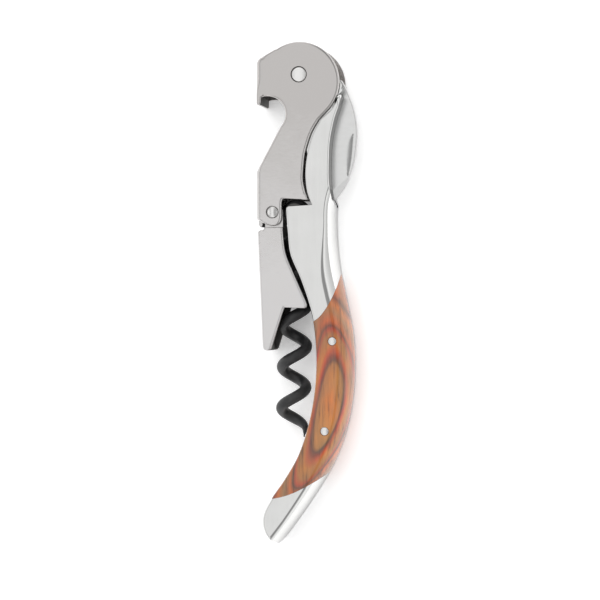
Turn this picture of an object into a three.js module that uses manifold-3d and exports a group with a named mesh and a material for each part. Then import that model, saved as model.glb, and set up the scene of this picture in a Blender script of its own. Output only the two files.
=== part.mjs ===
// Waiter's corkscrew with a double-hinged lever, closed and lying on its side.
// Millimetres, +Z up. X runs from the levers to the spine, Y from the tail to the head.
// The origin is under the middle of the tool, on the surface it lies on.

import * as THREE from 'three';
import { mergeVertices } from 'three/addons/utils/BufferGeometryUtils.js';
import Module from 'manifold-3d';

const wasm = await Module();
wasm.setup();

// ---- driving dimensions ---------------------------------------------------------------

const halfWidth = 7;              // half the tool's thickness, side face to side face
const skin = 1.4;                 // bolster and wood scale thickness
const liner = 0.9;                // stamped steel liner thickness
const sheet = 1.1;                // lever sheet thickness
const leverGap = 0.42;            // gap between the lever's edge and the bolster's shoulder
const fitGap = 0.3;               // running gap round a pin
const seamGap = 0.12;             // joint line between wood and bolster
const backStrip = 1.2;            // half the width of the steel strip between the wrapped covers

const linerOuter = halfWidth - skin;
const linerInner = linerOuter - liner;
const cheekInner = halfWidth - sheet;

const headCentre = [-1.56, 50.83];
const headRadius = 9.7;
const leverPivot = [-1.63, 52.68];
const foldPivot = [-8.04, 19.63];
const wormPivot = [-3.0, 19.6];
const bladePivot = [4.2, 47.0];

const leverRivetRadius = 1.8;
const foldRivetRadius = 1.35;
const pinRadius = 1.2;
const scalePinRadius = 1.0;
const frameRivetRadius = 1.0;
const scalePins = [[6.43, -11.4], [4.61, -33.0]];
const frameRivets = [[1.9, 26.5], [4.4, 6.0], [-6.3, -54.6]];

const leverLeft = -11.88;         // outer face of the upper lever's web
const stepTop = 21.07;            // top of the step in the body, under the first lip rest
const slotBottom = 20.9;          // closed end of the blade slot
const slotHalf = 1.1;
const bladeHalf = 0.8;

const wormPitch = 9.98;
const wormRadius = 2.9;           // helix axis to wire centre
const wireRadius = 1.36;
const wormTop = 16.5;
const wormTip = -34.6;
const wormLean = 0.0175;          // the helix axis leans this much towards the lever per mm

// ---- materials ------------------------------------------------------------------------

const metal = (color, roughness) =>
  new THREE.MeshStandardMaterial({ color, roughness, metalness: 1 });
const polished = metal(0xd6d5d2, 0.16);
const satin = metal(0xa9a6a2, 0.36);
const bladeSteel = metal(0xbdbdbb, 0.24);
const coated = new THREE.MeshStandardMaterial({ color: 0x0d0d0d, roughness: 0.5, metalness: 0 });
const wood = new THREE.MeshStandardMaterial({ color: 0x8a3c17, roughness: 0.4, metalness: 0 });

// ---- outline helpers ------------------------------------------------------------------

const vectors = (pairs) => pairs.map(([x, y]) => new THREE.Vector2(x, y));

/** A smooth run through the given points. */
const smooth = (pairs, steps) =>
  new THREE.SplineCurve(vectors(pairs)).getPoints(steps).map((p) => [p.x, p.y]);

/** An arc from one angle to another, in degrees, anticlockwise when it grows. */
function arc([cx, cy], radius, from, to, steps) {
  return Array.from({ length: steps + 1 }, (_, i) => {
    const angle = THREE.MathUtils.degToRad(from + ((to - from) * i) / steps);
    return [cx + radius * Math.cos(angle), cy + radius * Math.sin(angle)];
  });
}

const circle = (centre, radius, steps = 20) => arc(centre, radius, 0, 360, steps).slice(0, -1);

// ---- solid helpers --------------------------------------------------------------------

function solidOf(geometry) {
  const bare = geometry.index ? geometry.toNonIndexed() : geometry.clone();
  for (const name of Object.keys(bare.attributes)) {
    if (name !== 'position') bare.deleteAttribute(name);
  }
  const merged = mergeVertices(bare, 1e-4);
  return new wasm.Manifold(new wasm.Mesh({
    numProp: 3,
    vertProperties: new Float32Array(merged.attributes.position.array),
    triVerts: new Uint32Array(merged.index.array),
  }));
}

/** A flat plate between two heights, both measured from the tool's middle plane. */
function plate(pairs, from, to) {
  const geometry = new THREE.ExtrudeGeometry(new THREE.Shape(vectors(pairs)), {
    depth: to - from,
    bevelEnabled: false,
  });
  geometry.translate(0, 0, halfWidth + from);
  return solidOf(geometry);
}

/** A round bar or hole across the tool. */
const bar = (centre, radius, from = -halfWidth - 1, to = halfWidth + 1) =>
  plate(circle(centre, radius), from, to);

/** A closed solid through rings of points, capped at both ends. */
function loft(rings) {
  const count = rings[0].length;
  const corners = rings.flat();
  const faces = [];
  for (let r = 0; r + 1 < rings.length; r += 1) {
    for (let i = 0; i < count; i += 1) {
      const a = r * count + i;
      const b = r * count + ((i + 1) % count);
      faces.push(a, b, b + count, a, b + count, a + count);
    }
  }
  const last = (rings.length - 1) * count;
  for (let i = 1; i + 1 < count; i += 1) {
    faces.push(0, i + 1, i);
    faces.push(last, last + i, last + i + 1);
  }
  const geometry = new THREE.BufferGeometry();
  geometry.setAttribute('position', new THREE.Float32BufferAttribute(corners.flat(), 3));
  geometry.setIndex(faces);
  return solidOf(geometry);
}

const group = new THREE.Group();

/** Adds one finished sub-part to the model. */
function add(name, solid, material) {
  const { vertProperties, triVerts } = solid.getMesh();
  const geometry = new THREE.BufferGeometry();
  geometry.setAttribute('position', new THREE.BufferAttribute(vertProperties, 3));
  geometry.setIndex(new THREE.BufferAttribute(triVerts, 1));
  const mesh = new THREE.Mesh(geometry, material);
  mesh.name = name;
  group.add(mesh);
}

// ---- outlines of the handle -----------------------------------------------------------

// Left edge of the handle, from the step down to the tail.
const innerEdge = smooth([
  [-4.82, 20.2], [-4.42, 14.8], [-3.72, 9.3], [-1.1, 3.1], [1.4, -4.6], [2.4, -11.5], [2.56, -18.5],
  [1.9, -25.5], [0.4, -32.6], [-1.9, -39.1], [-5.1, -44.7], [-8.1, -49.0], [-10.1, -52.8],
  [-10.35, -55.9], [-9.2, -58.6], [-7.0, -60.3],
], 34);

// Back edge of the handle, from the tail up to the end of the blade slot.
const spineEdge = smooth([
  [-7.0, -60.3], [-5.0, -58.2], [-1.8, -53.9], [2.1, -48.2], [5.6, -42.4], [8.3, -36.4], [10.1, -30.0],
  [11.1, -23.8], [11.45, -17.0], [11.2, -11.0], [10.4, -6.0], [9.1, 0.3], [7.9, 5.8], [7.3, 10.6],
  [6.97, 16.0], [6.9, 21.3],
], 34);

// Hollow in the back edge that leaves the closed blade's spine free.
const bladeScoop = smooth([
  [6.24, 22.6], [5.62, 27.0], [5.6, 32.0], [5.85, 36.6], [6.84, 41.7], [7.8, 44.6], [8.6, 47.4],
], 14);

// Shoulder that the closed lever nests against, from the head down to the step.
const shoulder = [
  ...arc(headCentre, headRadius + leverGap, -15, -44, 6),
  ...smooth([
    [3.7, 42.0], [2.0, 39.0], [0.9, 36.0], [0.1, 32.4], [-0.2, 28.4], [0.25, 24.4], [1.44, 21.4],
  ], 12),
];

const stepCorner = arc([-4.0, stepTop - 0.75], 0.75, 90, 165, 4);
const sideOutline = [...stepCorner, ...innerEdge, ...spineEdge.slice(1), ...bladeScoop, ...shoulder];

// The liners reach on under the lever's head, to hold its rivet.
const linerHead = [
  [8.9, 48.5],
  ...arc(headCentre, headRadius + leverGap, -8, -2, 1),
  [6.4, 51.9],
  ...arc(leverPivot, 6.5, 0, 200, 16),
  [-5.6, 45.6], [-2.6, 41.2], [-0.2, 37.4],
  ...smooth([[0.3, 33.6], [-0.1, 31.0], [-0.2, 28.4], [0.25, 24.4], [1.44, 21.4]], 8),
];
const linerOutline = [...stepCorner, ...innerEdge, ...spineEdge.slice(1), ...bladeScoop, ...linerHead];

// ---- the rounded back, shared by everything along the spine ---------------------------

/** Depth over which the side face rounds over into the back, down the handle. */
function roundingDepth(y) {
  if (y > 0) return 5.1;
  return THREE.MathUtils.lerp(5.1, 3.1, Math.min(1, -y / 56));
}

/** Everything in front of the rounded back, or of the same form a little further in. */
function roundedBack(inset) {
  const half = halfWidth - inset;
  const line = new THREE.SplineCurve(vectors([
    [9.6, 49.5], [10.7, 42.5], [10.3, 35.0], [8.8, 28.0], [7.15, 21.6], [6.97, 16.0], [7.3, 10.6],
    [7.9, 5.8], [9.1, 0.3], [10.4, -6.0], [11.2, -11.0], [11.45, -17.0], [11.1, -23.8], [10.1, -30.0],
    [8.3, -36.4], [5.6, -42.4], [2.1, -48.2], [-1.8, -53.9], [-5.0, -58.2], [-8.4, -62.6],
  ]));
  const stations = 32;
  const quarter = 5;
  const reach = 17;
  const rings = Array.from({ length: stations + 1 }, (_, k) => {
    const at = line.getPoint(k / stations);
    const along = line.getTangent(k / stations);
    const inward = new THREE.Vector2(along.y, -along.x);
    const depth = roundingDepth(at.y);
    const place = (d, z) =>
      [at.x + inward.x * (d + inset), at.y + inward.y * (d + inset), halfWidth + z];
    const ring = [];
    for (let i = -quarter; i <= quarter; i += 1) {
      const angle = (i / quarter) * (Math.PI / 2);
      ring.push(place(depth * (1 - Math.cos(angle)), half * Math.sin(angle)));
    }
    ring.push(place(reach, half), place(reach, -half));
    return ring;
  });
  const head = plate([[-20, 44], [4, 44], [9.4, 49.4], [20, 49.4], [20, 64], [-20, 64]], -half, half);
  return loft(rings).add(head);
}

const backForm = roundedBack(0);
const coreForm = roundedBack(skin);

// ---- frame: liners, core, bolsters and wood scales -------------------------------------

function drill(solid, holes, radius) {
  return holes.reduce((left, centre) => left.subtract(bar(centre, radius)), solid);
}

/** Calls make(side, from, to) for the two mirrored layers of a pair. */
function bothSides(inner, outer, make) {
  make('front', inner, outer);
  make('rear', -outer, -inner);
}

function addLiners() {
  bothSides(linerInner, linerOuter, (side, from, to) => {
    let solid = plate(linerOutline, from, to).intersect(coreForm);
    solid = drill(solid, [leverPivot], leverRivetRadius + 0.05);
    solid = drill(solid, [wormPivot, bladePivot], pinRadius + 0.05);
    solid = drill(solid, [...frameRivets, ...scalePins], frameRivetRadius + 0.05);
    add(`${side}_liner`, solid, polished);
  });
}

/** Thin wall that parts the wood scale from a bolster along a joint line. */
function seamWall(pairs) {
  const line = smooth(pairs, 12);
  const shifted = line.map(([x, y]) => [x, y + seamGap]).reverse();
  return plate([...line, ...shifted], -halfWidth - 1, halfWidth + 1);
}

function addSideCovers() {
  // The covers wrap round the back, and have blind holes for the rivets' ends.
  const upperSeam = seamWall([
    [0.4, -7.1], [1.92, -6.65], [3.72, -5.21], [5.76, -2.21], [7.4, 1.8], [8.05, 4.9], [9.2, 9.4],
  ]);
  const lowerSeam = seamWall([
    [-10.6, -49.6], [-8.28, -49.37], [-3.96, -48.3], [1.08, -45.8], [5.4, -43.0], [8.6, -40.0],
  ]);
  bothSides(backStrip, halfWidth, (side, from, to) => {
    let cover = plate(sideOutline, from, to).intersect(backForm).subtract(coreForm);
    for (const centre of [...frameRivets, bladePivot]) {
      cover = cover.subtract(bar(centre, pinRadius + 0.05, -linerOuter - 0.05, linerOuter + 0.05));
    }
    const pieces = cover.subtract(upperSeam).subtract(lowerSeam).decompose()
      .filter((piece) => piece.volume() > 1)
      .sort((a, b) => b.boundingBox().max[1] - a.boundingBox().max[1]);
    const [bolster, scale, tail] = pieces;
    add(`${side}_upper_bolster`, bolster, polished);
    add(`${side}_wood_scale`, drill(scale, scalePins, scalePinRadius + 0.05), wood);
    add(`${side}_tail_bolster`, tail, polished);
  });
}

function addHeadBlock() {
  // Solid core of the neck and head, slotted from behind for the blade.
  const outline = [
    ...smooth([[6.9, slotBottom], [6.24, 22.6]], 1),
    ...bladeScoop.slice(1), [8.9, 48.5], [8.0, 51.0], [6.0, 52.0],
    ...arc(leverPivot, 6.2, 0, 200, 16),
    [-5.3, 45.4], [-2.3, 41.2], [0.1, 37.4],
    ...smooth([[0.6, 33.6], [0.2, 31.0], [0.1, 28.4], [0.55, 24.4], [1.9, slotBottom]], 8),
  ];
  const slot = plate([
    [5.2, 21.6], [14, 21.6], [14, 60], [1.0, 60], [-0.4, 52.6], [-1.7, 50.2], [-1.8, 47.5], [-0.9, 43.6],
    [1.6, 41.8], [2.2, 37.2], [2.4, 33.0], [3.2, 28.6], [4.5, 24.6],
  ], -slotHalf, slotHalf);
  let solid = plate(outline, -linerInner, linerInner).intersect(coreForm).subtract(slot);
  solid = drill(solid, [leverPivot], leverRivetRadius + 0.05);
  solid = drill(solid, [bladePivot], pinRadius + 0.05);
  add('head_block', drill(solid, [frameRivets[0]], frameRivetRadius + 0.05), satin);
}

function addSpineSpacer() {
  // Closes the back between the liners; the front of the handle stays hollow for the worm.
  const hollow = smooth([
    [3.4, slotBottom - 0.1], [3.1, 13.5], [2.9, 6.0], [3.6, 0.2], [4.7, -6.0], [5.1, -12.0], [5.0, -19.0],
    [4.3, -26.5], [2.9, -33.6], [0.5, -40.2], [-2.9, -46.0], [-6.2, -50.0], [-9.9, -52.1],
  ], 26);
  const tail = innerEdge.filter(([, y]) => y < -52.4);
  const outline = [...hollow, ...tail, ...spineEdge.slice(1, -1), [6.9, slotBottom - 0.1]];
  const core = plate(outline, -linerInner, linerInner).intersect(coreForm);
  const strip = plate(outline, -backStrip, backStrip).intersect(backForm);
  const solid = core.add(strip);
  const holes = [...frameRivets.slice(1), ...scalePins];
  add('spine_spacer', drill(solid, holes, frameRivetRadius + 0.05), polished);
}

function addFramePins() {
  const rivetNames = ['neck_rivet', 'shoulder_rivet', 'tail_rivet'];
  rivetNames.forEach((name, i) => add(name, bar(frameRivets[i], frameRivetRadius, -linerOuter, linerOuter), satin));
  const pinNames = ['upper_scale_pin', 'lower_scale_pin'];
  pinNames.forEach((name, i) => add(name, bar(scalePins[i], scalePinRadius, -halfWidth, halfWidth), satin));
  add('worm_pin', bar(wormPivot, pinRadius, -linerOuter, linerOuter), satin);
  add('blade_pin', bar(bladePivot, pinRadius, -linerOuter, linerOuter), satin);
  add('lever_rivet', bar(leverPivot, leverRivetRadius, -halfWidth + 0.1, halfWidth - 0.1), bladeSteel);
}

// ---- worm ------------------------------------------------------------------------------

const ring = (centre, outer, inner, from, to) => bar(centre, outer, from, to).subtract(bar(centre, inner));

/** Rings of the wire's section along the helix, from the eye to the ground point. */
function wormWire() {
  const steps = 64;
  const sides = 8;
  const middle = (t) => {
    const y = THREE.MathUtils.lerp(wormTop, wormTip, t);
    const radius = wormRadius * THREE.MathUtils.smoothstep(wormTop - y, 0, 6);
    const turn = (2 * Math.PI * (-12.9 - y)) / wormPitch;
    const axisX = wormPivot[0] - wormLean * (wormPivot[1] - y);
    return new THREE.Vector3(axisX + radius * Math.cos(turn), y, halfWidth + radius * Math.sin(turn));
  };
  return Array.from({ length: steps + 1 }, (_, k) => {
    const t = k / steps;
    const at = middle(t);
    const along = middle(t + 1e-3).sub(middle(t - 1e-3)).normalize();
    const across = new THREE.Vector3(0, 0, 1).cross(along).normalize();
    const up = along.clone().cross(across);
    const point = THREE.MathUtils.smoothstep(1 - t, 0, 0.1);
    const radius = wireRadius * Math.max(0.16, point);
    return Array.from({ length: sides }, (_unused, i) => {
      const angle = (2 * Math.PI * i) / sides;
      const spot = at.clone()
        .addScaledVector(across, radius * Math.cos(angle))
        .addScaledVector(up, radius * Math.sin(angle));
      return [spot.x, spot.y, spot.z];
    });
  });
}

function addWorm() {
  const eye = ring(wormPivot, 3.3, pinRadius + fitGap, -1.4, 1.4);
  add('worm', loft(wormWire()).add(eye), coated);
  bothSides(1.6, linerInner - 0.05, (side, from, to) =>
    add(`${side}_worm_spacer`, ring(wormPivot, 2.2, pinRadius + 0.05, from, to), satin));
}

// ---- foil blade ------------------------------------------------------------------------

function addBlade() {
  const outline = [
    ...smooth([
      [8.0, 51.6], [9.0, 49.9], [9.84, 47.9], [10.75, 45.5], [11.4, 42.9], [11.75, 40.0], [11.76, 37.0],
      [11.1, 31.8], [9.5, 27.0], [7.4, 23.8], [6.3, 22.6],
    ].reverse(), 20),
    ...arc(bladePivot, 5.0, 75, 200, 8),
    ...smooth([
      [1.2, 43.3], [2.5, 41.0], [2.76, 37.3], [3.0, 33.0], [3.75, 28.8], [4.9, 25.2],
    ], 8),
  ];
  const solid = plate(outline, -bladeHalf, bladeHalf);
  add('foil_blade', drill(solid, [bladePivot], pinRadius + fitGap), bladeSteel);
}

// ---- levers ----------------------------------------------------------------------------

function addUpperLever() {
  const notchCentre = [-9.36, 43.15];
  const outline = [
    ...arc(headCentre, headRadius, -44, 124, 28),
    [-7.6, 58.66], [-11.1, 56.72], [-11.6, 56.3], [leverLeft, 55.6],
    [leverLeft, 45.9], [-11.7, 45.5], [-11.05, 45.5], [-10.9, 45.9], [-10.85, 47.28],
    ...arc(notchCentre, 4.4, 108, -42, 14),
    [-11.64, 29.83], [leverLeft, 29.35],
    [leverLeft, 17.95],
    ...smooth([
      [-10.68, 17.23], [-9.48, 16.68], [-8.04, 16.39], [-6.72, 16.63], [-6.0, 17.47], [-5.76, 18.67],
    ], 8),
    [-5.76, 21.9], [-5.6, 22.62], [-5.0, 22.82], [0.6, 22.51],
    ...smooth([
      [0.17, 23.71], [-0.45, 26.2], [-0.62, 28.4], [-0.22, 33.07], [0.48, 35.95], [1.56, 38.95],
      [3.24, 41.83],
    ], 10),
  ];
  const webInner = leverLeft + sheet;
  const inside = plate([
    [webInner, 64], [webInner, 43.6], [-4.93, 39.36], [-10.69, 29.28], [webInner, 28.9],
    [webInner, 10], [30, 10], [30, 64],
  ], -cheekInner, cheekInner);
  const tongue = plate([
    [leverLeft, 20], [leverLeft, 16.6], [leverLeft + 0.4, 16.15], [webInner - 0.3, 16.15],
    [webInner, 16.5], [webInner, 20],
  ], -3.5, 3.5);
  let solid = plate(outline, -halfWidth, halfWidth).subtract(inside).add(tongue);
  solid = drill(solid, [leverPivot], leverRivetRadius + fitGap);
  add('upper_lever', drill(solid, [foldPivot], foldRivetRadius + 0.25), satin);
  add('fold_rivet', bar(foldPivot, foldRivetRadius, -halfWidth + 0.1, halfWidth - 0.1), bladeSteel);
  bothSides(linerOuter + 0.02, cheekInner - 0.05, (side, from, to) =>
    add(`${side}_lever_washer`, ring(leverPivot, 4.2, leverRivetRadius + 0.05, from, to), bladeSteel));
}

function addLowerLever() {
  const tipCentre = [-9.33, -12.55];
  const outline = [
    [-5.6, 16.0], [-9.96, 15.91], [-10.32, 15.31], [-11.04, 15.31], [-11.64, 14.83],
    ...arc(tipCentre, 1.15, 170, 328, 8),
    [-5.16, -3.29], [-0.3, -3.5], [0.2, -3.25], [0.36, -2.69], [0.12, -1.97],
    ...smooth([[-4.32, 8.11], [-4.85, 9.79], [-5.16, 11.47], [-5.4, 13.87]], 6),
  ];
  const inside = plate([
    [-11.64 + sheet, 20], [-10.35 + sheet, -11.6], [-8.6, -16], [30, -16], [30, 20],
  ], -cheekInner, cheekInner);
  const earOuter = cheekInner - 0.2;
  const earOutline = [...arc(foldPivot, 2.4, 0, 215, 14), [-9.9, 15.4], [-9.7, 11.0], [-5.7, 11.0]];
  let solid = plate(outline, -halfWidth, halfWidth).subtract(inside);
  bothSides(linerInner, earOuter, (side, from, to) => {
    solid = solid.add(plate(earOutline, from, to));
  });
  bothSides(earOuter - 0.2, cheekInner + 0.2, (side, from, to) => {
    solid = solid.add(plate([[-9.88, 15.2], [-9.7, 11.0], [-5.7, 11.0], [-5.7, 15.2]], from, to));
  });
  add('lower_lever', drill(solid, [foldPivot], foldRivetRadius + fitGap), satin);
}

addLiners();
addSideCovers();
addHeadBlock();
addSpineSpacer();
addFramePins();
addWorm();
addBlade();
addUpperLever();
addLowerLever();

export default group;
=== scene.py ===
"""Looks of the double-hinged waiter's corkscrew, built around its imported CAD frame."""

import math

import bmesh
import bpy
import numpy as np
from mathutils import Euler, Matrix, Vector


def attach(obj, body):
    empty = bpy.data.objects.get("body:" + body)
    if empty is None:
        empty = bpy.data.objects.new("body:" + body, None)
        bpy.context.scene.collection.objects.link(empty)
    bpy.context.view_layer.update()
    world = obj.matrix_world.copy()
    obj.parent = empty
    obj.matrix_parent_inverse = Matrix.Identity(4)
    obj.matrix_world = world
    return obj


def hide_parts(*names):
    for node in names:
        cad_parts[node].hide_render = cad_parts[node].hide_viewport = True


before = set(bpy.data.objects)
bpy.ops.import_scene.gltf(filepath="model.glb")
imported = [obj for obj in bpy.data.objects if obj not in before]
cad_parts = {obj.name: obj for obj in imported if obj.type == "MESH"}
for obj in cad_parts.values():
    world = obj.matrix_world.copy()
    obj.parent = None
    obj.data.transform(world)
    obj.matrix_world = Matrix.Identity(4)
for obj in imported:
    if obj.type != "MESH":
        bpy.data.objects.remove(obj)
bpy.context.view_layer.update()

# ---- driving dimensions, in millimetres in the part's frame -----------------------------

MM = 0.001
HALF = 7.0                      # half the tool's thickness; heights are from the middle plane
COVER = 5.6                     # inner face of the bolsters and the wood
LINER = 4.7                     # inner face of the liners
SHEET = 1.1                     # lever sheet thickness
CHEEK = HALF - SHEET            # inner face of the lever's cheeks
GAP = 0.42                      # gap between the lever's edge and the bolster's shoulder

HEAD = (-1.56, 50.83)
HEAD_RADIUS = 9.7
LEVER_PIVOT = (-1.63, 52.68)
FOLD_PIVOT = (-8.04, 19.63)
WORM_PIVOT = (-3.0, 19.6)
BLADE_PIVOT = (4.2, 47.0)
SCALE_PINS = [(6.43, -11.4), (4.61, -33.0)]
LEVER_RIVET = 1.8               # radii of the rivets and pins
FOLD_RIVET = 1.35
SCALE_PIN = 1.0
PIVOT_PIN = 1.2
SNUG = 0.05                     # room round a fixed pin
FREE = 0.3                      # room round a pin that something turns on
LEVER_LEFT = -11.88             # outer face of the upper lever's web
STEP_TOP = 21.07                # top of the bolster's step, beside the upper lever
SLOT_HALF = 1.1                 # half the width of the blade's slot
STRIP = 1.2                     # half the width of the steel strip along the back
BLADE_HALF = 0.8                # half the blade's thickness
EDGE_STEP = 0.8                 # longest edge of the handle's outlines
LEVER_STEP = 0.7                # longest edge of the levers' outlines
SHEET_STRETCH = 1.35            # how much wider than deep the levers' roundings are


# ---- curves in the plane ----------------------------------------------------------------

def smooth(points, steps):
    """Points along a Catmull-Rom curve through the given ones."""
    pts = np.array(points, float)
    last = len(pts) - 1
    out = []
    for t in np.linspace(0, last, steps + 1):
        i = min(int(t), last - 1)
        w = t - i
        before, a, b, after = (pts[min(max(i + k, 0), last)] for k in (-1, 0, 1, 2))
        va, vb = (b - before) / 2, (after - a) / 2
        cubic = 2 * a - 2 * b + va + vb
        square = -3 * a + 3 * b - 2 * va - vb
        out.append(((cubic * w + square) * w + va) * w + a)
    return np.array(out)


def arc(centre, radius, start, end, steps):
    """An arc from one angle to another, in degrees."""
    angles = np.radians(np.linspace(start, end, steps + 1))
    return np.stack([centre[0] + radius * np.cos(angles), centre[1] + radius * np.sin(angles)], 1)


def circle(centre, radius, steps=64):
    return arc(centre, radius, 0, 360, steps)[:-1]


def chain(*parts):
    """One polyline from several, without points that fall together."""
    together = 0.02
    pts = np.concatenate([np.atleast_2d(np.array(p, float)) for p in parts])
    keep = [0]
    for i in range(1, len(pts)):
        if np.linalg.norm(pts[i] - pts[keep[-1]]) > together:
            keep.append(i)
    if np.linalg.norm(pts[keep[-1]] - pts[0]) < together:
        keep.pop()
    return pts[keep]


def dense(line, step):
    """The closed polyline with points added on its long edges."""
    out = []
    for a, b in zip(line, np.roll(line, -1, 0)):
        count = max(1, math.ceil(np.linalg.norm(b - a) / step))
        out += [a + (b - a) * k / count for k in range(count)]
    return np.array(out)


def inward(line):
    """Unit-offset directions into a closed outline, mitred at its corners."""
    edge = np.roll(line, -1, 0) - line
    edge /= np.linalg.norm(edge, axis=1)[:, None]
    normal = np.stack([-edge[:, 1], edge[:, 0]], 1)
    before = np.roll(normal, 1, 0)
    total = normal + before
    length = np.maximum(np.linalg.norm(total, axis=1), 0.8)
    return 2 * total / (length ** 2)[:, None]


def smoothstep(x, low, high):
    """0 up to low, 1 from high on, and a smooth rise between."""
    t = min(1.0, max(0.0, (x - low) / (high - low)))
    return t * t * (3 - 2 * t)


def area(line):
    """Signed area of a closed outline, positive when it runs anticlockwise."""
    x, y = line[:, 0], line[:, 1]
    return 0.5 * np.sum(x * np.roll(y, -1) - y * np.roll(x, -1))


# ---- outlines of the handle -------------------------------------------------------------

INNER_EDGE = smooth([
    (-4.82, 20.2), (-4.42, 14.8), (-3.72, 9.3), (-1.1, 3.1), (1.4, -4.6), (2.4, -11.5), (2.56, -18.5),
    (1.9, -25.5), (0.4, -32.6), (-1.9, -39.1), (-5.1, -44.7), (-8.1, -49.0), (-10.1, -52.8),
    (-10.35, -55.9), (-9.2, -58.6), (-7.0, -60.3),
], 110)
SPINE_EDGE = smooth([
    (-7.0, -60.3), (-5.0, -58.2), (-1.8, -53.9), (2.1, -48.2), (5.6, -42.4), (8.3, -36.4), (10.1, -30.0),
    (11.1, -23.8), (11.45, -17.0), (11.2, -11.0), (10.4, -6.0), (9.1, 0.3), (7.9, 5.8), (7.3, 10.6),
    (6.97, 16.0), (6.9, 21.3),
], 110)
BLADE_SCOOP = smooth([
    (6.24, 22.6), (5.62, 27.0), (5.6, 32.0), (5.85, 36.6), (6.84, 41.7), (7.8, 44.6), (8.6, 47.4),
], 40)
SHOULDER = chain(
    arc(HEAD, HEAD_RADIUS + GAP, -19, -44, 16),
    smooth([
        (3.7, 42.0), (2.0, 39.0), (0.9, 36.0), (0.1, 32.4), (-0.2, 28.4), (0.25, 24.4), (1.34, 21.4),
    ], 40),
) + (0.12, 0.0)
STEP_CORNER = arc((-4.0, STEP_TOP - 0.75), 0.75, 90, 165, 8)
SIDE_OUTLINE = chain(STEP_CORNER, INNER_EDGE, SPINE_EDGE, BLADE_SCOOP, SHOULDER)
LINER_HEAD = chain(
    [(8.9, 48.5)], arc(HEAD, HEAD_RADIUS + GAP, -8, -2, 3), [(6.4, 51.9)],
    arc(LEVER_PIVOT, 6.5, 0, 200, 40), [(-5.6, 45.6), (-2.6, 41.2), (-0.2, 37.4)],
    smooth([(0.3, 33.6), (-0.1, 31.0), (-0.2, 28.4), (0.25, 24.4), (1.44, 21.4)], 24),
)
LINER_OUTLINE = chain(STEP_CORNER, INNER_EDGE, SPINE_EDGE, BLADE_SCOOP, LINER_HEAD)
UPPER_SEAM = smooth([
    (0.4, -7.1), (1.92, -6.65), (3.72, -5.21), (5.76, -2.21), (7.4, 1.8), (8.05, 4.9), (9.2, 9.4),
], 48)
LOWER_SEAM = smooth([
    (-10.6, -49.6), (-8.28, -49.37), (-3.96, -48.3), (1.08, -45.8), (5.4, -43.0), (8.6, -40.0),
], 40)


# ---- meshes -----------------------------------------------------------------------------

def mesh_object(name, corners, faces, crease=38):
    """A mesh object from corners in millimetres, heights measured from the middle plane."""
    mesh = bpy.data.meshes.new(name)
    points = [(x * MM, y * MM, (z + HALF) * MM) for x, y, z in corners]
    mesh.from_pydata(points, [], [tuple(int(i) for i in f) for f in faces])
    outside = bmesh.new()
    outside.from_mesh(mesh)
    bmesh.ops.recalc_face_normals(outside, faces=outside.faces)
    outside.to_mesh(mesh)
    outside.free()
    made = bpy.data.objects.new(name, mesh)
    bpy.context.scene.collection.objects.link(made)
    return shaded(made, crease)


def shaded(obj, crease=38):
    """Smooth shading with sharp edges where faces meet at more than the crease angle."""
    obj.data.polygons.foreach_set("use_smooth", [True] * len(obj.data.polygons))
    obj.data.set_sharp_from_angle(angle=math.radians(crease))
    return obj


def loft(name, rings, crease=38):
    """A solid through rings of points, capped at both ends."""
    count = len(rings[0])
    last = (len(rings) - 1) * count
    corners = [p for ring in rings for p in ring]
    faces = []
    for start in range(0, last, count):
        after = start + count
        for i in range(count):
            j = (i + 1) % count
            faces.append((start + i, start + j, after + j, after + i))
    faces.append(tuple(reversed(range(count))))
    faces.append(tuple(range(last, last + count)))
    return mesh_object(name, corners, faces, crease)


def radii(rounding, line):
    """The rounding's radius at each point of a line."""
    if callable(rounding):
        return np.array([rounding(x, y) for x, y in line])
    return np.full(len(line), float(rounding))


def plate(name, outline, low, high, low_round=0.0, high_round=0.0, steps=5, stretch=1.0):
    """A plate with rounded edges; a rounding is a radius or a function of x and y.

    Stretch widens the roundings along the plate's face.
    """
    line = np.array(outline, float)
    if area(line) < 0:
        line = line[::-1]
    into = inward(line)
    edges = ((low, radii(low_round, line), 1), (high, radii(high_round, line), -1))
    rings = []
    for height, radius, up in edges:
        turns = np.linspace(0, math.pi / 2, steps + 1) if radius.max() > 0 else [math.pi / 2]
        stack = []
        for angle in turns:
            spot = line + into * (stretch * radius * (1 - math.sin(angle)))[:, None]
            level = height + up * radius * (1 - math.cos(angle))
            stack.append([(x, y, z) for (x, y), z in zip(spot, np.broadcast_to(level, len(line)))])
        rings += stack if up > 0 else stack[::-1]
    return loft(name, rings)


def boolean(obj, other, operation):
    """Applies a boolean with the other object, which is then removed."""
    modifier = obj.modifiers.new("cut", "BOOLEAN")
    modifier.operation, modifier.object, modifier.solver = operation, other, "EXACT"
    bpy.context.view_layer.update()
    graph = bpy.context.evaluated_depsgraph_get()
    made = bpy.data.meshes.new_from_object(obj.evaluated_get(graph))
    obj.modifiers.clear()
    obj.data = made
    bpy.data.objects.remove(other)
    return shaded(obj)


def copy_of(obj):
    """A copy with a mesh of its own."""
    twin = obj.copy()
    twin.data = obj.data.copy()
    bpy.context.scene.collection.objects.link(twin)
    return twin


def mirrored(obj, name):
    """A copy on the other side of the middle plane."""
    twin = copy_of(obj)
    twin.name = name
    flip = Matrix.Translation((0, 0, 2 * HALF * MM)) @ Matrix.Diagonal((1, 1, -1, 1))
    twin.data.transform(flip)
    twin.data.flip_normals()
    return twin


def drill(obj, centre, radius):
    """A round hole right through, across the tool."""
    return boolean(obj, plate("drill", circle(centre, radius), -HALF - 1, HALF + 1), "DIFFERENCE")


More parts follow.
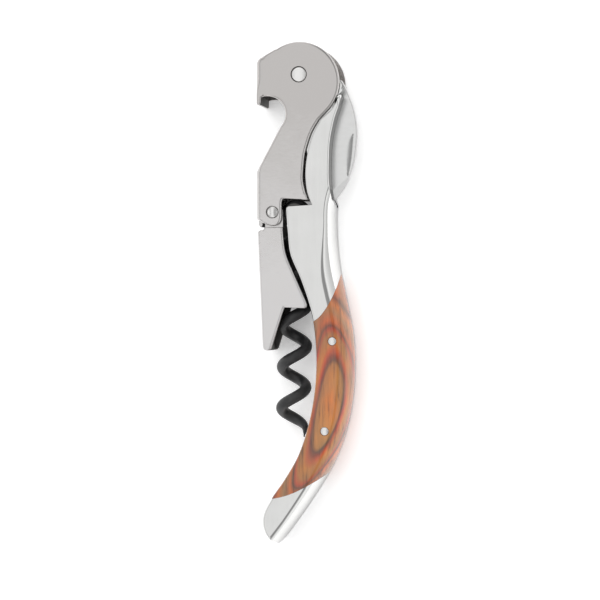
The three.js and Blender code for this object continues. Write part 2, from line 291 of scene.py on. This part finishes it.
def loose_parts(obj):
    """The separate shells of a mesh as objects, from head to tail, without the slivers."""
    sliver = 60
    bpy.ops.object.select_all(action="DESELECT")
    obj.select_set(True)
    bpy.context.view_layer.objects.active = obj
    bpy.ops.mesh.separate(type="LOOSE")
    parts = [o for o in bpy.context.selected_objects if len(o.data.vertices) > sliver]
    for stray in [o for o in bpy.context.selected_objects if o not in parts]:
        bpy.data.objects.remove(stray)
    return sorted(parts, key=lambda o: -max(v.co.y for v in o.data.vertices))


# ---- node materials ---------------------------------------------------------------------

class Nodes:
    """A short way to write one material's node tree."""

    def __init__(self, name):
        self.material = bpy.data.materials.new(name)
        self.material.use_nodes = True
        self.tree = self.material.node_tree
        self.shader = self.tree.nodes["Principled BSDF"]
        self.place = self.add("ShaderNodeTexCoord").outputs["Object"]

    def add(self, kind, settings=None, **inputs):
        node = self.tree.nodes.new(kind)
        for key, value in (settings or {}).items():
            setattr(node, key, value)
        for key, value in inputs.items():
            self.set(node, key.replace("_", " "), value)
        return node

    def set(self, node, key, value):
        if isinstance(value, bpy.types.NodeSocket):
            self.tree.links.new(value, node.inputs[key])
        else:
            node.inputs[key].default_value = value

    def math(self, operation, a, b=0.0):
        node = self.tree.nodes.new("ShaderNodeMath")
        node.operation = operation
        self.set(node, 0, a)
        self.set(node, 1, b)
        return node.outputs[0]

    def stretched(self, scale, turn=(0, 0, 0)):
        """The place on the object, turned and scaled to stretch a pattern."""
        node = self.add("ShaderNodeMapping", {"vector_type": "POINT"}, Vector=self.place)
        node.inputs["Scale"].default_value = scale
        node.inputs["Rotation"].default_value = turn
        return node.outputs[0]

    def axes(self):
        """The place on the object as its separate coordinates, in metres."""
        return self.add("ShaderNodeSeparateXYZ", None, Vector=self.place).outputs

    def noise(self, vector, scale=1.0, detail=4.0, rough=0.55):
        return self.add("ShaderNodeTexNoise", None, Vector=vector, Scale=scale, Detail=detail,
                        Roughness=rough).outputs["Fac"]

    def ramp(self, value, stops):
        node = self.add("ShaderNodeValToRGB", None, Fac=value)
        points = node.color_ramp.elements
        while len(points) < len(stops):
            points.new(1.0)
        for point, (position, colour) in zip(points, stops):
            point.position = position
            point.color = (*colour, 1.0)
        return node.outputs["Color"]

    def mix(self, factor, a, b, blend="MIX"):
        node = self.add("ShaderNodeMix", {"data_type": "RGBA", "blend_type": blend})
        for index, value in ((0, factor), (6, a), (7, b)):
            if isinstance(value, tuple):
                value = (*value, 1.0)
            self.set(node, index, value)
        return node.outputs[2]

    def span(self, value, low, high):
        """A value from 0 to 1 spread over another range."""
        node = self.add("ShaderNodeMapRange", None, Value=value)
        node.inputs["To Min"].default_value = low
        node.inputs["To Max"].default_value = high
        return node.outputs[0]

    def bump(self, height, strength, distance):
        node = self.add("ShaderNodeBump", None, Height=height, Strength=strength, Distance=distance)
        self.set(self.shader, "Normal", node.outputs[0])


def painted_reflection_ramp(n, top, length):
    """Rises from 0 at a height on the tool to 1 a length further down, in metres: the ramp of a painted
    reflection that lightens the steel lower down.
    """
    down = n.math("MULTIPLY", n.math("SUBTRACT", top, n.axes()[1]), 1 / length)
    return n.math("MINIMUM", n.math("MAXIMUM", down, 0.0), 1.0)


def steel(name, dark, light, roughness, grain, bump, turn=0.0, painted_reflection=0.0):
    """Metal with grinding marks: colour and roughness vary, and fine lines run along the grain.

    The last argument sets how much of the colour's change is a painted reflection, a slow lightening from
    the head down to the lip rest.
    """
    n = Nodes(name)
    lines = n.noise(n.stretched(grain, (0, 0, math.radians(turn))), 1.0, 6.0, 0.7)
    clouds = n.noise(n.place, 140.0, 3.0)
    both = n.math("ADD", n.math("MULTIPLY", lines, 0.55), n.math("MULTIPLY", clouds, 0.45))
    if painted_reflection:
        # Painted reflection: the colour lightens from the head down.
        painted_lightening = n.math("MULTIPLY", painted_reflection_ramp(n, 0.050, 0.050), painted_reflection)
        both = n.math("ADD", n.math("MULTIPLY", both, 1.0 - painted_reflection), painted_lightening)
    n.set(n.shader, "Base Color", n.ramp(both, [(0.3, dark), (0.7, light)]))
    n.set(n.shader, "Roughness", n.span(both, *roughness))
    n.shader.inputs["Metallic"].default_value = 1.0
    n.shader.inputs["Specular Tint"].default_value = (0.6, 0.6, 0.6, 1.0)
    n.bump(lines, bump, 0.00002)
    return n.material


def veneer_depth(n):
    """How far a place is from the heart of the largest oval, which is bent like the handle."""
    middle, half_length, half_width = -27.0, 12.0, 3.2
    x, y = (n.math("MULTIPLY", n.axes()[axis], 1 / MM) for axis in (0, 1))
    bend = n.math("MULTIPLY", n.math("POWER", n.math("ADD", y, 17.0), 2.0), 0.0096)
    across = n.math("SUBTRACT", n.math("ADD", x, bend), 6.75)
    wide = n.math("DIVIDE", across, half_width)
    long = n.math("DIVIDE", n.math("SUBTRACT", y, middle), half_length)
    oval = n.math("SQRT", n.math("ADD", n.math("POWER", wide, 2.0), n.math("POWER", long, 2.0)))
    wobble = n.math("SUBTRACT", n.noise(n.stretched((180, 60, 180)), 1.0, 3.0), 0.5)
    return n.math("ADD", oval, n.math("MULTIPLY", wobble, 0.22))


def wood_material():
    """Varnished laminate: dyed veneers cut across their layers, so that they show as long ovals."""
    n = Nodes("laminated_wood")
    outermost = 2.5
    layers = n.ramp(n.math("DIVIDE", veneer_depth(n), outermost), [
        (0.0, (0.60, 0.20, 0.022)), (0.22, (0.56, 0.21, 0.03)), (0.33, (0.38, 0.16, 0.035)),
        (0.365, (0.07, 0.03, 0.018)), (0.40, (0.20, 0.018, 0.006)), (0.44, (0.50, 0.06, 0.008)),
        (0.50, (0.50, 0.17, 0.022)), (0.58, (0.40, 0.15, 0.028)), (0.62, (0.42, 0.035, 0.006)),
        (0.65, (0.09, 0.024, 0.014)), (0.69, (0.50, 0.10, 0.012)), (0.78, (0.30, 0.15, 0.055)),
        (0.86, (0.50, 0.14, 0.018)), (0.93, (0.12, 0.03, 0.014)), (1.0, (0.42, 0.10, 0.014)),
    ])
    fibre = n.noise(n.stretched((900, 55, 900), (0, 0, math.radians(-4))), 1.0, 5.0, 0.7)
    streaks = n.ramp(fibre, [
        (0.36, (0.30, 0.30, 0.30)), (0.47, (0.85, 0.85, 0.85)), (0.66, (1.15, 1.12, 1.1)),
    ])
    patches = n.noise(n.stretched((150, 45, 150)), 1.0, 2.0)
    dyed = n.mix(n.span(patches, -0.45, 0.75), layers, (0.46, 0.04, 0.005))
    grey = n.noise(n.stretched((260, 110, 260)), 1.0, 3.0)
    weathered = n.mix(n.span(grey, -0.5, 1.0), dyed, (0.20, 0.13, 0.06))
    n.set(n.shader, "Base Color", n.mix(0.8, weathered, streaks, "MULTIPLY"))
    n.set(n.shader, "Roughness", n.span(fibre, 0.34, 0.5))
    n.shader.inputs["Coat Weight"].default_value = 1.0
    n.shader.inputs["Coat IOR"].default_value = 1.6
    n.shader.inputs["Coat Roughness"].default_value = 0.08
    n.bump(fibre, 0.25, 0.00004)
    return n.material


def coating_material():
    """Satin black non-stick coating with a fine orange-peel surface."""
    n = Nodes("black_coating")
    speckle = n.noise(n.place, 2600.0, 3.0, 0.6)
    clouds = n.noise(n.place, 260.0, 3.0)
    black, sheen = (0.014, 0.014, 0.015), (0.03, 0.03, 0.031)
    n.set(n.shader, "Base Color", n.ramp(clouds, [(0.35, black), (0.7, sheen)]))
    n.set(n.shader, "Roughness", n.span(speckle, 0.36, 0.56))
    n.shader.inputs["Specular IOR Level"].default_value = 0.55
    n.bump(speckle, 0.35, 0.00003)
    return n.material


# Each steel: darkest and lightest colour, range of roughness, scale of the grain, bump, grain's turn.
POLISHED = steel(
    "polished_steel", (0.74, 0.74, 0.73), (0.82, 0.82, 0.81), (0.05, 0.14), (400, 26, 400), 0.04)
# Satin steel is painted lighter from the head down to the lip rest: a painted reflection.
SATIN = steel(
    "satin_steel", (0.60, 0.578, 0.565), (0.76, 0.745, 0.74), (0.2, 0.32), (700, 2600, 700), 0.14, 8,
    painted_reflection=0.5)
# Dark steel that stands for shade, not the steel's own colour: painted shade inside the levers' channels
# and on the hidden parts within the handle.
INSIDE_SHADE = steel(
    "inner_steel_painted_shade", (0.10, 0.098, 0.095), (0.18, 0.175, 0.17), (0.35, 0.5), (60, 900, 600), 0.2)
BLADE = steel(
    "blade_steel", (0.73, 0.73, 0.725), (0.81, 0.81, 0.805), (0.16, 0.26), (300, 1500, 300), 0.06, 14)
PIN = steel(
    "pin_steel", (0.86, 0.85, 0.84), (0.95, 0.945, 0.93), (0.2, 0.3), (1200, 300, 600), 0.1)
WOOD = wood_material()
COATING = coating_material()


def finish_piece(obj, name, body, material, slot, *nodes):
    """Names a piece, paints it, and lets it stand for its CAD nodes."""
    obj.name = name
    obj.data.name = name
    obj.data.materials.clear()
    obj.data.materials.append(material)
    weights = obj.modifiers.new("flat_faces", "WEIGHTED_NORMAL")
    weights.keep_sharp, weights.weight = True, 100
    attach(obj, body)
    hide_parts(*nodes)
    return obj


def paint_shade_inside(lever, cheeks):
    """Paints shade into the inside of a folded lever's web as dull dark steel, and into its cheeks'
    inside too if asked: painted shade where the channel lies in shadow.
    """
    lever.data.materials.append(INSIDE_SHADE)
    for face in lever.data.polygons:
        height = face.center.z / MM - HALF
        faces_in = face.normal.z * height < -0.3 * abs(height)
        of_web = face.normal.x > 0.2
        if (of_web or cheeks and faces_in) and abs(height) < CHEEK + 0.02:
            face.material_index = 1


# ---- handle -----------------------------------------------------------------------------

BACK_LINE = smooth([
    (9.6, 49.5), (10.7, 42.5), (10.3, 35.0), (8.8, 28.0), (7.15, 21.6), (6.97, 16.0), (7.3, 10.6),
    (7.9, 5.8), (9.1, 0.3), (10.4, -6.0), (11.2, -11.0), (11.45, -17.0), (11.1, -23.8), (10.1, -30.0),
    (8.3, -36.4), (5.6, -42.4), (2.1, -48.2), (-1.8, -53.9), (-5.0, -58.2), (-8.4, -62.6),
], 152)


def rounding_depth(y):
    """Depth over which the side face rounds over into the back: deepest at the top of the wood."""
    deepest, at_tail, at_neck = 5.1, 3.1, 2.9
    if y < 0:
        return deepest - (deepest - at_tail) * min(1.0, -y / 56)
    return deepest - (deepest - at_neck) * smoothstep(y, 2, 18)


def back_form(inset, lift):
    """Everything in front of the rounded back, or of the same form further in.

    Its flat sides stand a hair proud, so that a plate's own face stays whole.
    """
    half = HALF - inset + lift
    along = np.gradient(BACK_LINE, axis=0)
    along /= np.linalg.norm(along, axis=1)[:, None]
    into = np.stack([along[:, 1], -along[:, 0]], 1)
    turns = np.linspace(-math.pi / 2, math.pi / 2, 41)
    reach = 17                  # past the front of the handle
    rings = []
    for (x, y), (u, v) in zip(BACK_LINE, into):
        depth = rounding_depth(y)
        section = [(inset + depth * (1 - math.cos(a)), half * math.sin(a)) for a in turns]
        section += [(reach, half), (reach, -half)]
        rings.append([(x + u * far, y + v * far, height) for far, height in section])
    form = loft("back_form", rings)
    head = [(-20, 44), (4, 44), (9.4, 49.4), (20, 49.4), (20, 64), (-20, 64)]
    return boolean(form, plate("head_form", head, -half, half), "UNION")


def seam_wall(line):
    """A thin wall along a joint line, to cut a cover in two."""
    gap = 0.05
    shifted = (line + (0, gap))[::-1]
    return plate("seam", np.concatenate([line, shifted]), -HALF - 2, HALF + 2)


def rim(x, y):
    """Rounding of the covers' front edge, crisper up the neck and least at its thin tip."""
    if y > 44:
        return 0.35 - 0.25 * smoothstep(y, 44, 46.5)
    return 0.35 if y > 20.5 else 0.55


def covers(form, core):
    """Bolster, wood scale and tail bolster of one side, cut along the joint lines from one cover.

    The cover wraps round the back as far as the steel strip in its middle.
    """
    cover = plate("cover", dense(SIDE_OUTLINE, EDGE_STEP), STRIP + 0.02, HALF, 0.0, rim)
    cover = boolean(cover, copy_of(form), "INTERSECT")
    cover = boolean(cover, copy_of(core), "DIFFERENCE")
    cover = boolean(cover, seam_wall(UPPER_SEAM), "DIFFERENCE")
    cover = boolean(cover, seam_wall(LOWER_SEAM), "DIFFERENCE")
    return loose_parts(cover)[:3]


def add_covers(form, core):
    """The covers of both sides."""
    bolster, scale, tail = covers(form, core)
    for centre in SCALE_PINS:
        scale = drill(scale, centre, SCALE_PIN + SNUG + 0.01)
    for part, node, material, slot in (
        (bolster, "upper_bolster", POLISHED, "polished_steel"),
        (scale, "wood_scale", WOOD, "laminated_wood"),
        (tail, "tail_bolster", POLISHED, "polished_steel"),
    ):
        rear = mirrored(part, f"rear_{node}_skin")
        finish_piece(part, f"front_{node}_skin", "handle", material, slot, f"front_{node}")
        finish_piece(rear, f"rear_{node}_skin", "handle", material, slot, f"rear_{node}")


def add_liners(core):
    """Steel sheets under the covers, which reach up under the lever's head."""
    liner = plate("liner", dense(LINER_OUTLINE, EDGE_STEP), LINER, COVER)
    liner = boolean(liner, copy_of(core), "INTERSECT")
    liner = drill(liner, LEVER_PIVOT, LEVER_RIVET + SNUG)
    rear = mirrored(liner, "rear_liner_skin")
    finish_piece(liner, "front_liner_skin", "handle", POLISHED, "polished_steel", "front_liner")
    finish_piece(rear, "rear_liner_skin", "handle", POLISHED, "polished_steel", "rear_liner")


def add_spine(form, core):
    """The back between the liners, with the strip that comes out between the covers."""
    hollow = smooth([
        (3.4, 20.8), (3.1, 13.5), (2.9, 6.0), (3.6, 0.2), (4.7, -6.0), (5.1, -12.0), (5.0, -19.0),
        (4.3, -26.5), (2.9, -33.6), (0.5, -40.2), (-2.9, -46.0), (-6.2, -50.0), (-9.9, -52.1),
    ], 80)
    tail = INNER_EDGE[INNER_EDGE[:, 1] < -52.4]
    outline = chain(hollow, tail, SPINE_EDGE[1:-1], [(6.9, 20.8)])
    spine = plate("spine", outline, -LINER + 0.03, LINER - 0.03)
    spine = boolean(spine, copy_of(core), "INTERSECT")
    strip = boolean(plate("strip", outline, -STRIP, STRIP), copy_of(form), "INTERSECT")
    spine = boolean(spine, strip, "UNION")
    finish_piece(spine, "spine_skin", "handle", POLISHED, "polished_steel", "spine_spacer")


def add_neck_core(form):
    """The solid middle of the neck and head, with the blade's slot."""
    outline = chain(
        smooth([(6.9, 20.9), (6.24, 22.6)], 4), BLADE_SCOOP, [(8.9, 48.5), (8.0, 51.0), (6.0, 52.0)],
        arc(LEVER_PIVOT, 6.2, 0, 200, 40), [(-5.3, 45.4), (-2.3, 41.2), (0.1, 37.4)],
        smooth([(0.6, 33.6), (0.2, 31.0), (0.1, 28.4), (0.55, 24.4), (1.9, 20.9)], 24),
    )
    slot = np.array([
        (5.2, 21.6), (14, 21.6), (14, 60), (1.0, 60), (-0.4, 52.6), (-1.7, 50.2), (-1.8, 47.5),
        (-0.9, 43.6), (1.6, 41.8), (2.2, 37.2), (2.4, 33.0), (3.2, 28.6), (4.5, 24.6),
    ])
    core = plate("core", outline, -LINER + 0.03, LINER - 0.03)
    core = boolean(core, copy_of(form), "INTERSECT")
    core = boolean(core, plate("slot", slot, -SLOT_HALF, SLOT_HALF), "DIFFERENCE")
    core = drill(core, LEVER_PIVOT, LEVER_RIVET + SNUG)
    core = drill(core, BLADE_PIVOT, PIVOT_PIN + SNUG)
    finish_piece(core, "neck_core", "handle", POLISHED, "satin_steel", "head_block")


# ---- rivets and pins --------------------------------------------------------------------

def turned(name, centre, profile, sides=64):
    """A body of revolution about the axis across the tool, from (radius, height) pairs."""
    thinnest = 0.01
    rings = [
        [(x, y, height) for x, y in circle(centre, max(radius, thinnest), sides)]
        for radius, height in profile
    ]
    return loft(name, rings, 45)


def rivet_profile(radius, reach, dome, rounding):
    """Low domes with rounded rims, on the two ends of a straight shank."""
    flat, shoulder = radius - rounding, reach - dome - rounding
    edge = [
        (flat + rounding * math.cos(a), shoulder + rounding * math.sin(a))
        for a in np.linspace(0, math.pi / 2, 6)
    ]
    crown = [(flat * r, reach - dome * r * r) for r in (0.85, 0.7, 0.5, 0.3, 0.12, 0.0)]
    upper = edge + crown
    return [(r, -h) for r, h in reversed(upper)] + upper


def add_rivets():
    """The four that show; each profile is how far it reaches, its dome and its rim's rounding."""
    for name, centre, radius, body, profile in (
        ("lever_rivet", LEVER_PIVOT, LEVER_RIVET, "handle", (HALF - 0.05, 0.12, 0.25)),
        ("fold_rivet", FOLD_PIVOT, FOLD_RIVET, "lever", (HALF - 0.02, 0.3, 0.2)),
        ("upper_scale_pin", SCALE_PINS[0], SCALE_PIN, "handle", (HALF, 0.1, 0.12)),
        ("lower_scale_pin", SCALE_PINS[1], SCALE_PIN, "handle", (HALF, 0.1, 0.12)),
    ):
        made = turned(name, centre, rivet_profile(radius, *profile))
        slot = "pin_steel" if "pin" in name else "blade_steel"
        finish_piece(made, f"{name}_head", body, PIN, slot, name)


# ---- worm -------------------------------------------------------------------------------

PITCH = 9.98
HELIX = 2.9                     # from the helix's axis to the middle of the wire
WIRE = 1.36                     # radius of the wire
WORM_TOP = 16.5
WORM_TIP = -34.6
WORM_CREST = -12.9              # where the wire is furthest towards the back
WORM_LEAN = 0.0175              # how much the axis leans towards the levers per millimetre


def worm_middle(t):
    """Centre line of the wire, from the eye at 0 to the point at 1, straighter at its very end."""
    y = WORM_TOP + (WORM_TIP - WORM_TOP) * t
    radius = HELIX * smoothstep(WORM_TOP - y, 0, 6)
    turn = 2 * math.pi * (WORM_CREST - y) / PITCH
    two_turns = 4 * math.pi
    turn = min(turn, two_turns + 0.25 * (turn - two_turns))
    axis = WORM_PIVOT[0] - WORM_LEAN * (WORM_PIVOT[1] - y)
    return Vector((axis + radius * math.cos(turn), y, radius * math.sin(turn)))


def wire_section(t, sides=28):
    """Ring of the wire's surface, thinner towards the point."""
    at = worm_middle(t)
    along = (worm_middle(t + 1e-3) - worm_middle(t - 1e-3)).normalized()
    across = Vector((0, 0, 1)).cross(along).normalized()
    up = along.cross(across)
    radius = WIRE * max(0.14, smoothstep(1 - t, -0.01, 0.09) ** 0.8)
    turns = [2 * math.pi * i / sides for i in range(sides)]
    return [tuple(at + across * (radius * math.cos(a)) + up * (radius * math.sin(a))) for a in turns]


def add_worm():
    steps = 420
    wire = loft("worm", [wire_section(k / steps) for k in range(steps + 1)], 50)
    eye = plate("eye", circle(WORM_PIVOT, 3.3, 72), -1.4, 1.4, 0.5, 0.5)
    worm = boolean(wire, eye, "UNION")
    worm = drill(worm, WORM_PIVOT, PIVOT_PIN + FREE)
    finish_piece(worm, "worm_coated", "screw", COATING, "black_coating", "worm")


# ---- foil blade -------------------------------------------------------------------------

def blade_back():
    """The blade's thick edge, from the point up to the pivot."""
    return smooth([
        (8.0, 51.6), (9.0, 49.9), (9.84, 47.9), (10.75, 45.5), (11.4, 42.9), (11.75, 40.0), (11.76, 37.0),
        (11.1, 31.8), (9.5, 27.0), (7.4, 23.8), (6.3, 22.6),
    ][::-1], 70)


def blade_edge():
    """Cutting edge from the heel to the point, with shallow serrations along its middle."""
    line = smooth([
        (1.2, 43.3), (2.5, 41.0), (2.76, 37.3), (3.0, 33.0), (3.75, 28.8), (4.9, 25.2), (6.3, 22.6),
    ], 150)[:-1]
    start, end, pitch, depth = 26, 39, 1.3, 0.22
    wave = np.array([
        depth * abs(math.sin(math.pi * (y - start) / pitch)) if start < y < end else 0.0
        for _, y in line
    ])
    return line + np.stack([wave, 0 * wave], 1)


def nail_nick():
    """Crescent cutter: deep along its outer side and running out to nothing on its inner side."""
    outer = smooth([(10.95, 38.9), (10.75, 36.6), (10.55, 34.0), (10.2, 31.2), (9.55, 28.1)], 24)
    inner = smooth([(10.95, 38.9), (9.3, 37.0), (8.75, 34.0), (8.8, 31.0), (9.55, 28.1)], 24)
    skin, floor, above = BLADE_HALF + 0.01, 0.25, 2 * BLADE_HALF
    rings = [
        [(xi, yi, skin), (xo, yo, floor), (xo, yo, above), (xi, yi, above)]
        for (xo, yo), (xi, yi) in zip(outer[1:-1], inner[1:-1])
    ]
    return loft("nick", rings)


def tip_grind(side):
    """Wedge that bevels the last stretch of the blade towards its point."""
    start, end = Vector((11.6, 30.2)), Vector((4.6, 24.2))
    across = Vector((0.65, -0.76))
    skin, thin, above = side * (BLADE_HALF + 0.01), side * 0.1, side * 2 * BLADE_HALF
    rings = []
    for spot in (start - across * 0.01, end - across * 0.01):
        low = spot + across * 5
        rings.append([
            (spot.x, spot.y, skin), (low.x, low.y, thin), (low.x, low.y, above), (spot.x, spot.y, above),
        ])
    return loft("grind", rings)


def blade_round(x, y):
    """Nearly sharp along the cutting edge, and only softened elsewhere."""
    return 0.75 if x < 6.0 and y < 44 else 0.3


def add_blade():
    outline = chain(blade_back(), arc(BLADE_PIVOT, 5.0, 75, 200, 30), blade_edge())
    blade = plate("blade", outline, -BLADE_HALF, BLADE_HALF, blade_round, blade_round)
    blade = boolean(blade, nail_nick(), "DIFFERENCE")
    for side in (1, -1):
        blade = boolean(blade, tip_grind(side), "DIFFERENCE")
    blade = drill(blade, BLADE_PIVOT, PIVOT_PIN + FREE)
    finish_piece(blade, "foil_blade_ground", "knife", BLADE, "blade_steel", "foil_blade")


# ---- levers -----------------------------------------------------------------------------

def lever_round(x, y):
    """The bends of the folded sheet are rounder than its cut edges; acute corners are crisp."""
    if x < -10.4 and y > 44.5:
        return 0.22 + 0.6 * smoothstep(y, 47.5, 52)
    if x > -1.2 and y < 24:
        return 0.25
    return 0.8 if x < LEVER_LEFT + 0.3 else 0.5


def add_upper_lever():
    """Folded sheet: round head, cap lifter's notch, and the first lip rest's tongue below."""
    notch = (-9.36, 43.15)
    outline = chain(
        arc(HEAD, HEAD_RADIUS, -44, 124, 90),
        [(-7.6, 58.66), (-11.1, 56.72), (-11.6, 56.3), (LEVER_LEFT, 55.6)],
        [(LEVER_LEFT, 45.9), (-11.7, 45.5), (-11.05, 45.5), (-10.9, 45.9), (-10.85, 47.28)],
        arc(notch, 4.4, 108, -42, 50),
        [(-11.64, 29.83), (LEVER_LEFT, 29.35), (LEVER_LEFT, 17.95)],
        smooth([
            (-10.68, 17.23), (-9.48, 16.68), (-8.04, 16.39), (-6.72, 16.63), (-6.0, 17.47),
            (-5.76, 18.67),
        ], 24),
        [(-5.76, 21.9), (-5.6, 22.62), (-5.0, 22.82), (0.6, 22.51)],
        smooth([
            (0.17, 23.71), (-0.45, 26.2), (-0.62, 28.4), (-0.22, 33.07), (0.48, 35.95), (1.56, 38.95),
            (3.24, 41.83),
        ], 30),
    )
    web = LEVER_LEFT + SHEET
    inside = np.array([
        (web, 64), (web, 43.6), (-4.93, 39.36), (-10.69, 29.28), (web, 28.9), (web, 10), (30, 10),
        (30, 64),
    ])
    tongue = np.array([
        (LEVER_LEFT, 20), (LEVER_LEFT, 16.6), (LEVER_LEFT + 0.4, 16.15), (web - 0.3, 16.15),
        (web, 16.5), (web, 20),
    ])
    lever = plate(
        "lever", dense(outline, LEVER_STEP), -HALF, HALF, lever_round, lever_round,
        stretch=SHEET_STRETCH)
    lever = boolean(lever, plate("inside", inside, -CHEEK, CHEEK), "DIFFERENCE")
    lever = boolean(lever, plate("tongue", tongue, -3.5, 3.5, 0.2, 0.2), "UNION")
    lever = drill(lever, LEVER_PIVOT, LEVER_RIVET + 0.16)
    lever = drill(lever, FOLD_PIVOT, FOLD_RIVET + 0.2)
    finish_piece(lever, "upper_lever_sheet", "lever", SATIN, "satin_steel", "upper_lever")
    # Painted shade on the inside of the web.
    paint_shade_inside(lever, cheeks=False)


def add_lower_lever():
    """Folded sheet with two ears that reach up between the upper lever's cheeks."""
    web = -11.64
    outline = chain(
        [(-5.6, 16.0), (-9.96, 15.91), (-10.32, 15.31), (-11.04, 15.31), (web, 14.83)],
        arc((-9.33, -12.55), 1.15, 170, 328, 24),
        [(-5.16, -3.29), (-0.3, -3.5), (0.2, -3.25), (0.36, -2.69), (0.12, -1.97)],
        smooth([(-4.32, 8.11), (-4.85, 9.79), (-5.16, 11.47), (-5.4, 13.87)], 18),
    )
    inside = np.array([
        (web + SHEET, 20), (-10.35 + SHEET, -11.6), (-8.6, -16), (30, -16), (30, 20),
    ])
    ear_outer = CHEEK - 0.2
    ear = chain(arc(FOLD_PIVOT, 2.4, 0, 215, 40), [(-9.9, 15.4), (-9.7, 11.0), (-5.7, 11.0)])
    joggle = np.array([(-9.88, 15.2), (-9.7, 11.0), (-5.7, 11.0), (-5.7, 15.2)])
    lever = plate(
        "lever", dense(outline, LEVER_STEP), -HALF, HALF, 0.42, 0.42, stretch=SHEET_STRETCH)
    lever = boolean(lever, plate("inside", inside, -CHEEK, CHEEK), "DIFFERENCE")
    for low, high in ((LINER, ear_outer), (-ear_outer, -LINER)):
        lever = boolean(lever, plate("ear", ear, low, high), "UNION")
    for low, high in ((ear_outer - 0.2, CHEEK + 0.2), (-CHEEK - 0.2, -ear_outer + 0.2)):
        lever = boolean(lever, plate("joggle", joggle, low, high), "UNION")
    lever = drill(lever, FOLD_PIVOT, FOLD_RIVET + SNUG)
    finish_piece(lever, "lower_lever_sheet", "lip_rest", SATIN, "satin_steel", "lower_lever")
    # Painted shade on the inside of the web and of the cheeks.
    paint_shade_inside(lever, cheeks=True)


def paint_hidden_nodes():
    """CAD nodes that stay as they are: pins, spacers and washers inside. The pins get pin steel; the rest
    get dark steel, painted shade for the hollow they sit in.
    """
    for name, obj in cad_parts.items():
        if obj.hide_render:
            continue
        obj.data.materials.clear()
        obj.data.materials.append(PIN if "pin" in name or "rivet" in name else INSIDE_SHADE)


# ---- stage, light and camera ------------------------------------------------------------

# Brightness of the tent from the levers' side, at 0, over the top to the back's side, at 1.
TENT = [
    (0.0, 1.15), (0.14, 1.1), (0.22, 0.45), (0.33, 1.0), (0.53, 1.0), (0.60, 0.42), (0.78, 0.32),
    (0.84, 1.2), (0.92, 1.0), (1.0, 0.7),
]


def make_world():
    """A pale light tent with darker strips, which give the polished steel its bands."""
    world = bpy.data.worlds.new("studio")
    bpy.context.scene.world = world
    world.use_nodes = True
    tree = world.node_tree
    place = tree.nodes.new("ShaderNodeTexCoord")
    split = tree.nodes.new("ShaderNodeSeparateXYZ")
    tree.links.new(place.outputs["Generated"], split.inputs[0])
    ramp = tree.nodes.new("ShaderNodeValToRGB")
    span = tree.nodes.new("ShaderNodeMapRange")
    span.inputs["From Min"].default_value = -1
    span.inputs["From Max"].default_value = 1
    tree.links.new(split.outputs[0], span.inputs["Value"])
    tree.links.new(span.outputs[0], ramp.inputs["Fac"])
    points = ramp.color_ramp.elements
    while len(points) < len(TENT):
        points.new(1.0)
    for point, (position, value) in zip(points, TENT):
        point.position = position
        point.color = (value, value, value, 1.0)
    tree.links.new(ramp.outputs["Color"], tree.nodes["Background"].inputs["Color"])
    tree.nodes["Background"].inputs["Strength"].default_value = 0.9


def make_floor():
    """A wide sheet of white paper, a hair under the tool."""
    size = 3.0
    mesh = bpy.data.meshes.new("floor")
    corners = [(-size, -size, 0), (size, -size, 0), (size, size, 0), (-size, size, 0)]
    mesh.from_pydata(corners, [], [(0, 1, 2, 3)])
    floor = bpy.data.objects.new("floor", mesh)
    bpy.context.scene.collection.objects.link(floor)
    floor.location.z = -0.0001
    n = Nodes("floor_paper")
    fine = n.noise(n.place, 900.0, 3.0)
    paper, white = (0.93, 0.93, 0.93), (0.96, 0.96, 0.96)
    n.set(n.shader, "Base Color", n.ramp(fine, [(0.3, paper), (0.7, white)]))
    n.shader.inputs["Roughness"].default_value = 0.9
    n.shader.inputs["Specular IOR Level"].default_value = 0.1
    n.shader.inputs["Emission Color"].default_value = (1, 1, 1, 1)
    n.shader.inputs["Emission Strength"].default_value = 0.25
    mesh.materials.append(n.material)


def add_light(name, place, turn, size, power):
    """A square soft light that the steel doesn't mirror; the tent gives it its bands."""
    data = bpy.data.lights.new(name, "AREA")
    data.shape, data.size, data.energy = "SQUARE", size, power
    light = bpy.data.objects.new(name, data)
    bpy.context.scene.collection.objects.link(light)
    light.location = place
    light.rotation_euler = Euler([math.radians(a) for a in turn])
    light.visible_glossy = False


def make_lights():
    add_light("overhead", (-0.25, 0.35, 0.9), (-21, -15, 0), 0.9, 4.4)
    add_light("side", (0.8, -0.05, 0.22), (3, 75, 0), 0.5, 3.5)


def make_camera():
    """Over the tool's side face, turned a little towards its back, as in the photograph."""
    data = bpy.data.cameras.new("camera")
    data.lens = 160
    data.sensor_width = 36
    data.clip_start, data.clip_end = 0.01, 20
    camera = bpy.data.objects.new("camera", data)
    bpy.context.scene.collection.objects.link(camera)
    turn = math.radians(7.8)
    distance = 0.64
    target = Vector((-1.3, -1.5, 2 * HALF)) * MM
    camera.location = target + Vector((math.sin(turn), 0, math.cos(turn))) * distance
    camera.rotation_euler = (0, turn, 0)
    bpy.context.scene.camera = camera


def main():
    make_world()
    make_floor()
    make_lights()
    make_camera()
    view = bpy.context.scene.view_settings
    view.view_transform, view.look = "Standard", "None"
    form = back_form(0.0, 0.03)
    core = back_form(HALF - COVER, 0.0)
    add_covers(form, core)
    add_liners(core)
    add_spine(form, core)
    add_neck_core(core)
    bpy.data.objects.remove(form)
    bpy.data.objects.remove(core)
    add_rivets()
    add_worm()
    add_blade()
    add_upper_lever()
    add_lower_lever()
    paint_hidden_nodes()


main()
